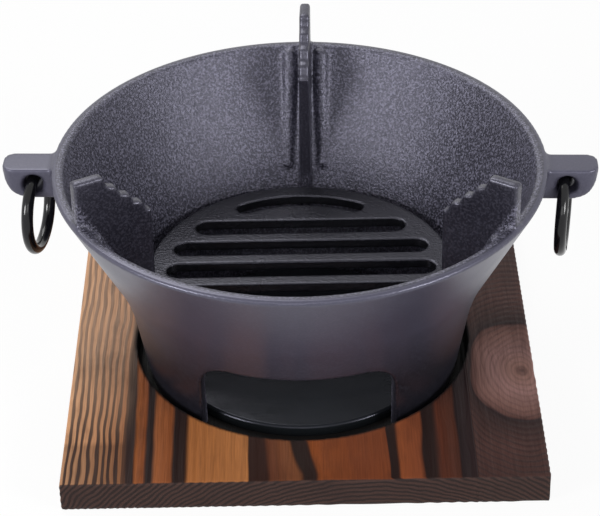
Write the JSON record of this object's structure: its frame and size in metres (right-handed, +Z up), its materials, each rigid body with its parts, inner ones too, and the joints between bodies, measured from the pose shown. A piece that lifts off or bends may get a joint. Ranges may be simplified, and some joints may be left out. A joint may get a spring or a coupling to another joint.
{
  "type": "hibachi grill",
  "caption": "Table-top charcoal grill: a flared cast-iron fire bowl with toothed pot supports and ring handles, a loose slotted grate, and a square burnt-wood base.",
  "frame": {"origin": "under the middle of the wooden base, on the face it stands on", "axes": "+Z up, the air and ash mouth of the fire bowl faces -Y, the lugs with the ring handles point along +X and -X"},
  "size_m": [0.2982, 0.2484, 0.1493],
  "materials": {
    "cast_iron": "as cast, blackened, fine sand texture",
    "grate_iron": "as cast, blackened, smoother than the bowl",
    "plate_iron": "smooth, satin black",
    "black_wire": "glossy black enamel on steel wire",
    "burnt_pine": "burnt and brushed pine"
  },
  "bodies": {
    "base": {"base_wide_plank": "burnt_pine", "base_edge_plank": "burnt_pine"},
    "furnace": {"fire_bowl": "cast_iron"},
    "grate": {"fire_grate": "grate_iron"},
    "ash_disc": {"ash_plate": "plate_iron"},
    "ring_left": {"ring_handle_left": "black_wire"},
    "ring_right": {"ring_handle_right": "black_wire"}
  },
  "joints": [
    {"name": "furnace_lift", "type": "slide", "parent": "base", "child": "furnace", "axis": [0, 0, 1], "range_m": [0, 0.03]},
    {"name": "grate_lift", "type": "slide", "parent": "furnace", "child": "grate", "axis": [0, 0, 1], "range_m": [0, 0.115]},
    {"name": "ash_plate_lift", "type": "slide", "parent": "base", "child": "ash_disc", "axis": [0, 0, 1], "range_m": [0, 0.02]},
    {"name": "ring_right_swing", "type": "hinge", "parent": "furnace", "child": "ring_right", "pos_m": [0.1334, -0.00513, 0.1153], "axis": [0.0384, 0.9993, 0], "range_deg": [-206, 37]},
    {"name": "ring_left_swing", "type": "hinge", "parent": "furnace", "child": "ring_left", "pos_m": [-0.1334, 0.00513, 0.1153], "axis": [0.0384, 0.9993, 0], "range_deg": [-37, 206]}
  ]
}
